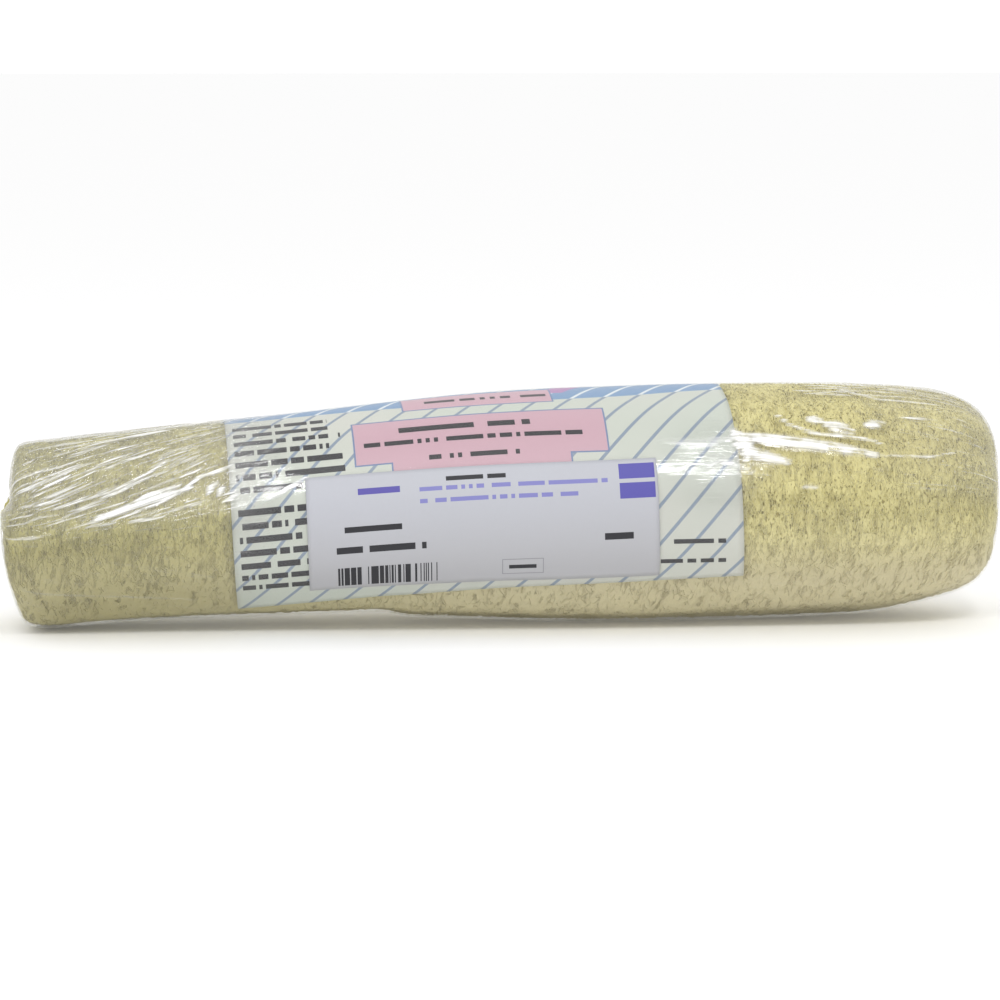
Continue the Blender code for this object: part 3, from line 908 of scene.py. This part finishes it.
def make_film(material):
    """The film: the skin between two round openings. Its columns of points follow the folds, which fan out at
    the thin end, and it is raised along them."""
    rows, columns = 208, 430
    run_ends = (np.interp(OPENING_RADII[0], spline(SIDE, SIDE_T[:800])[:, 1], SIDE_RUN[:800]),
                np.interp(-OPENING_RADII[1], -spline(SIDE, SIDE_T[-800:])[:, 1], SIDE_RUN[-800:]))
    run = np.linspace(*run_ends, rows)[:, None] + np.zeros(columns)
    t = t_at_run(run)
    share = circle_angles(columns)
    # twice as many columns at the front and the top as at the back
    own = math.radians(45) + share - 0.33 * np.sin(share)
    angle = fold_angle(spline(SIDE, t)[..., 0], own + np.zeros((rows, 1)))
    start = bare_skin(t, angle)
    x = start[..., 0]
    turn = (angle + math.pi) % (2 * math.pi) - math.pi
    fold_height, white = fold_field(x, angle, film_folds())
    place = np.stack([run, FAN_RADIUS * np.cos(own + 0 * run), FAN_RADIUS * np.sin(own + 0 * run)], axis=-1)
    soft = noise(place * (1 / 22.0, 1 / 6.0, 1 / 6.0), 21) - 0.5
    ripple = noise(place * (1 / 14.0, 1 / 1.7, 1 / 1.7), 22) - 0.5
    thin_end = 1 - smooth_step((x + 84) / 30)
    thick_end = smooth_step((x - 96) / 40)
    facing_up = smooth_step((np.sin(turn) + 0.05) / 0.5)
    crease = np.clip(thin_end * (0.1 + 0.9 * facing_up) + thick_end * 0.45 * facing_up + 0.05, 0, 1)
    under_label = on_sheet(x, angle, t, LABEL_SIZE, LABEL_CENTRE, LABEL_TURN, 3.0)
    under_card = on_sheet(x, angle, t, CARD_SIZE, CARD_CENTRE, CARD_TURN, 3.0)
    smoother = under_card * smooth_step((x + 80) / 20)
    # the film is also puckered where the card's right edge meets the long fold
    pucker = np.exp(-(((x - 63) / 13) ** 2)) * np.exp(-(((turn - 0.48) / 0.3) ** 2))
    crease = np.maximum(crease * (1 - 0.75 * smoother), 0.7 * pucker)
    height = 0.16 * soft + 0.55 * ripple * crease
    height = height * (1 - 0.7 * smoother * (1 - pucker)) + fold_height
    height = np.clip(height, -0.08, 1.2) * (1 - under_label)
    # the rims of the two openings turn inwards
    height = height - 0.6 * (1 - smooth_step(np.minimum(run - run_ends[0], run_ends[1] - run) / 1.6))
    points = skin(t, angle, FILM_DEPTH - height)
    film = write_mesh("film_wrap", points.reshape(-1, 3), grid_faces(rows, columns, True))
    set_number(film, "crease", crease)
    # painted highlights: the folds' whiteness, which the film's material turns white
    set_number(film, "fold", white)
    held = film.data.attributes.new("fold_place", "FLOAT_VECTOR", "POINT")
    held.data.foreach_set("vector", place.astype(np.float32).ravel())
    return finish_piece(film, material, "clear_film", "film_wrap")


def make_sheet(name, size, cells, centre, turn, depth, thickness, material, slot, node, skew=0.0):
    """A sheet laid on the skin, its print side outwards, with a wall inwards. Its lower corner at +X may sit
    lower by the skew, as where a sheet slips on a bulge."""
    u, v = np.meshgrid(np.linspace(0, 1, cells[0] + 1), np.linspace(0, 1, cells[1] + 1), indexing="ij")
    t, angle = sheet_place((u - 0.5) * size[0], (v - 0.5) * size[1] - skew * u * (1 - v) ** 2, centre, turn)
    start = bare_skin(t, angle)
    cockle = 0.12 * (noise(start / 17.0, 31) - 0.5)
    points = skin(t, angle, depth + cockle)
    sheet = write_mesh(name, points.reshape(-1, 3), grid_faces(cells[0] + 1, cells[1] + 1, False))
    set_uv(sheet, u, v)
    wall = sheet.modifiers.new("wall", "SOLIDIFY")
    wall.thickness = thickness * MM
    wall.offset = -1
    return finish_piece(sheet, material, slot, node)


# The stage

def make_camera():
    """The photograph's view: a long lens a metre away, 8 degrees above the horizon."""
    azimuth, elevation = CAMERA_AZIMUTH, CAMERA_ELEVATION
    target = Vector(CAMERA_TARGET) * MM
    back = Vector((math.sin(azimuth) * math.cos(elevation), -math.cos(azimuth) * math.cos(elevation),
                   math.sin(elevation)))
    data = bpy.data.cameras.new("photo_view")
    data.sensor_width = 36.0
    data.lens = CAMERA_LENS
    data.clip_start, data.clip_end = 0.05, 100.0
    camera = bpy.data.objects.new("photo_view", data)
    bpy.context.scene.collection.objects.link(camera)
    camera.location = target + back * CAMERA_DISTANCE
    camera.rotation_mode = "QUATERNION"
    camera.rotation_quaternion = (-back).to_track_quat("-Z", "Y")
    bpy.context.scene.camera = camera


def area_light(name, place, aim, size, radiance):
    """A rectangular lamp that faces a point, as bright as the radiance asks."""
    data = bpy.data.lights.new(name, "AREA")
    data.shape = "RECTANGLE"
    data.size, data.size_y = size
    data.energy = radiance * math.pi * size[0] * size[1]
    lamp = bpy.data.objects.new(name, data)
    bpy.context.scene.collection.objects.link(lamp)
    lamp.location = place
    lamp.rotation_mode = "QUATERNION"
    lamp.rotation_quaternion = (Vector(aim) - Vector(place)).to_track_quat("-Z", "Y")


def make_stage():
    """A wide pale floor, an even white sky and two strip lamps in front and above."""
    floor = write_mesh("pale_floor", np.array([[-1, -1, 0], [1, -1, 0], [1, 1, 0], [-1, 1, 0]]) * FLOOR_HALF
                       - (0, 0, FLOOR_GAP), np.array([[0, 1, 2, 3]]), smooth=False)
    floor.data.materials.append(floor_material())
    world = bpy.data.worlds.new("white_sky")
    world.use_nodes = True
    nodes, links = world.node_tree.nodes, world.node_tree.links
    # white behind the gourd and above it, and greyer in front of it, where the room is
    direction = nodes.new("ShaderNodeTexCoord").outputs["Generated"]
    parts = nodes.new("ShaderNodeSeparateXYZ")
    links.new(direction, parts.inputs[0])
    grey = nodes.new("ShaderNodeMapRange")
    links.new(parts.outputs["Y"], grey.inputs["Value"])
    for name, value in (("From Min", -0.7), ("From Max", 0.3), ("To Min", 0.65), ("To Max", 1.1)):
        grey.inputs[name].default_value = value
    links.new(grey.outputs[0], nodes["Background"].inputs["Strength"])
    nodes["Background"].inputs["Color"].default_value = rgb(1, 1, 1)
    bpy.context.scene.world = world
    for name, x, length in (("lamp_left", -0.22, 0.2), ("lamp_right", 0.16, 0.16)):
        place = (x, -LAMP_FORWARD, LAMP_HEIGHT)
        area_light(name, place, (x * 0.4, 0, 0.03), (length, LAMP_DEPTH), LAMP_RADIANCE)


def main():
    scene = bpy.context.scene
    scene.view_settings.view_transform = "Standard"
    make_camera()
    make_stage()
    felt = luffa_material("luffa_felt", (0.85, 0.79, 0.4), (0.6, 0.54, 0.23))
    strand = luffa_material("luffa_strand", (0.87, 0.82, 0.46), (0.7, 0.64, 0.32))
    make_luffa_body(felt)
    for i, (name, middle) in enumerate((("front", 0), ("top", 90), ("back", 180), ("underside", 270))):
        surface_strands(f"luffa_strands_{name}", SURFACE_STRAND_COUNT, math.radians(middle), math.pi / 4,
                        100 + i, strand)
    mouth_strands("luffa_strands_thin_end", -1, MOUTH_STRAND_COUNT, 201, strand)
    mouth_strands("luffa_strands_thick_end", 1, MOUTH_STRAND_COUNT, 202, strand)
    make_film(film_material())
    make_sheet("printed_card_sheet", CARD_SIZE, (74, 70), CARD_CENTRE, CARD_TURN, CARD_DEPTH, CARD_THICKNESS,
               card_material(), "card_paper", "printed_card", CARD_SKEW)
    make_sheet("sticker_label_sheet", LABEL_SIZE, (68, 24), LABEL_CENTRE, LABEL_TURN, -LABEL_LIFT,
               LABEL_THICKNESS, label_material(), "label_paper", "sticker_label")


main()
